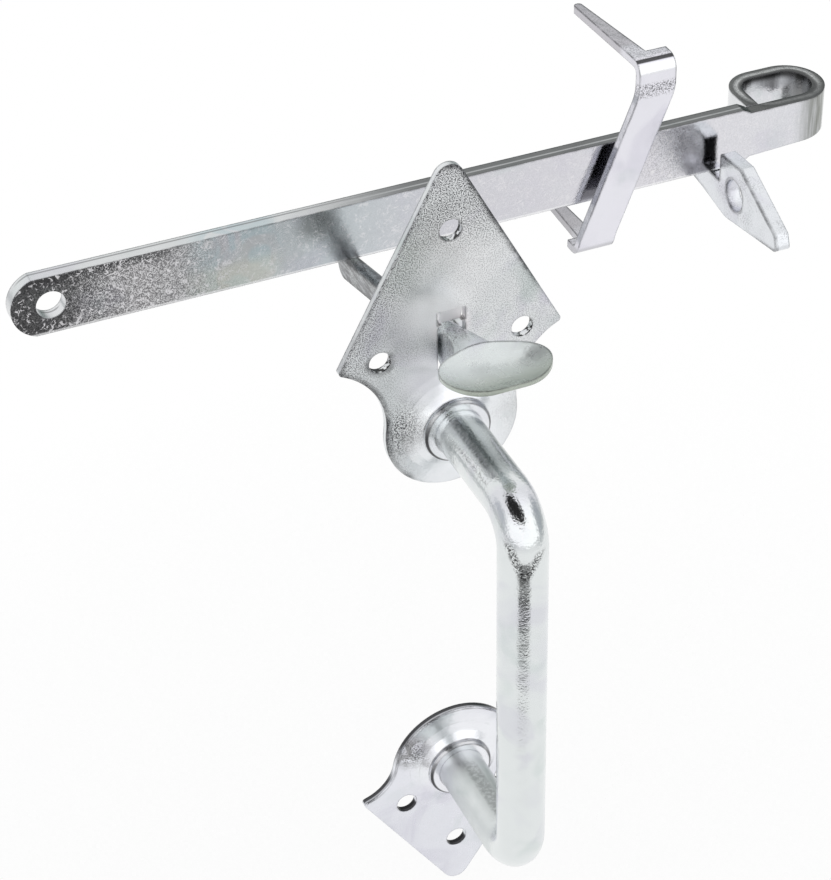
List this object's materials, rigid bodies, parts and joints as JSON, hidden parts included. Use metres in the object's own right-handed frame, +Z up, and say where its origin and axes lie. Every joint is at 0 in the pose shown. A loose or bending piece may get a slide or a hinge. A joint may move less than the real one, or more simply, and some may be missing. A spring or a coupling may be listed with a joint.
{
  "type": "gate latch",
  "caption": "Zinc-plated gate latch: bow handle on spade plates, dished thumb lever lifting a pivoted flat bar with a rolled eye, drive-in keeper and hooked catch.",
  "frame": {"origin": "centre of the upper plate's screw circle, on the back face of the plates", "axes": "+X along the gate towards the eye of the bar, +Y from the handle into the gate, +Z up"},
  "size_m": [0.2857, 0.1718, 0.2788],
  "materials": {
    "zinc_steel": "bright zinc plating with a faint blue tint"
  },
  "bodies": {
    "fixed_set": {"handle": "zinc_steel", "top_plate": "zinc_steel", "bottom_plate": "zinc_steel", "keeper": "zinc_steel", "catch": "zinc_steel"},
    "thumb_lever": {"thumb_lever": "zinc_steel", "lever_pin": "zinc_steel"},
    "latch_bar": {"latch_bar": "zinc_steel"}
  },
  "joints": [
    {"name": "bar_lift", "type": "hinge", "parent": "fixed_set", "child": "latch_bar", "pos_m": [-0.0993, 0.0747, -0.0166], "axis": [0, -1, 0], "range_deg": [0, 7]},
    {"name": "thumb_press", "type": "hinge", "parent": "fixed_set", "child": "thumb_lever", "pos_m": [0, 0.0055, -0.0157], "axis": [1, 0, 0], "range_deg": [0, 10]}
  ],
  "couplings": [
    {"joint": "thumb_press", "follows": "bar_lift", "ratio": 1.4286}
  ]
}
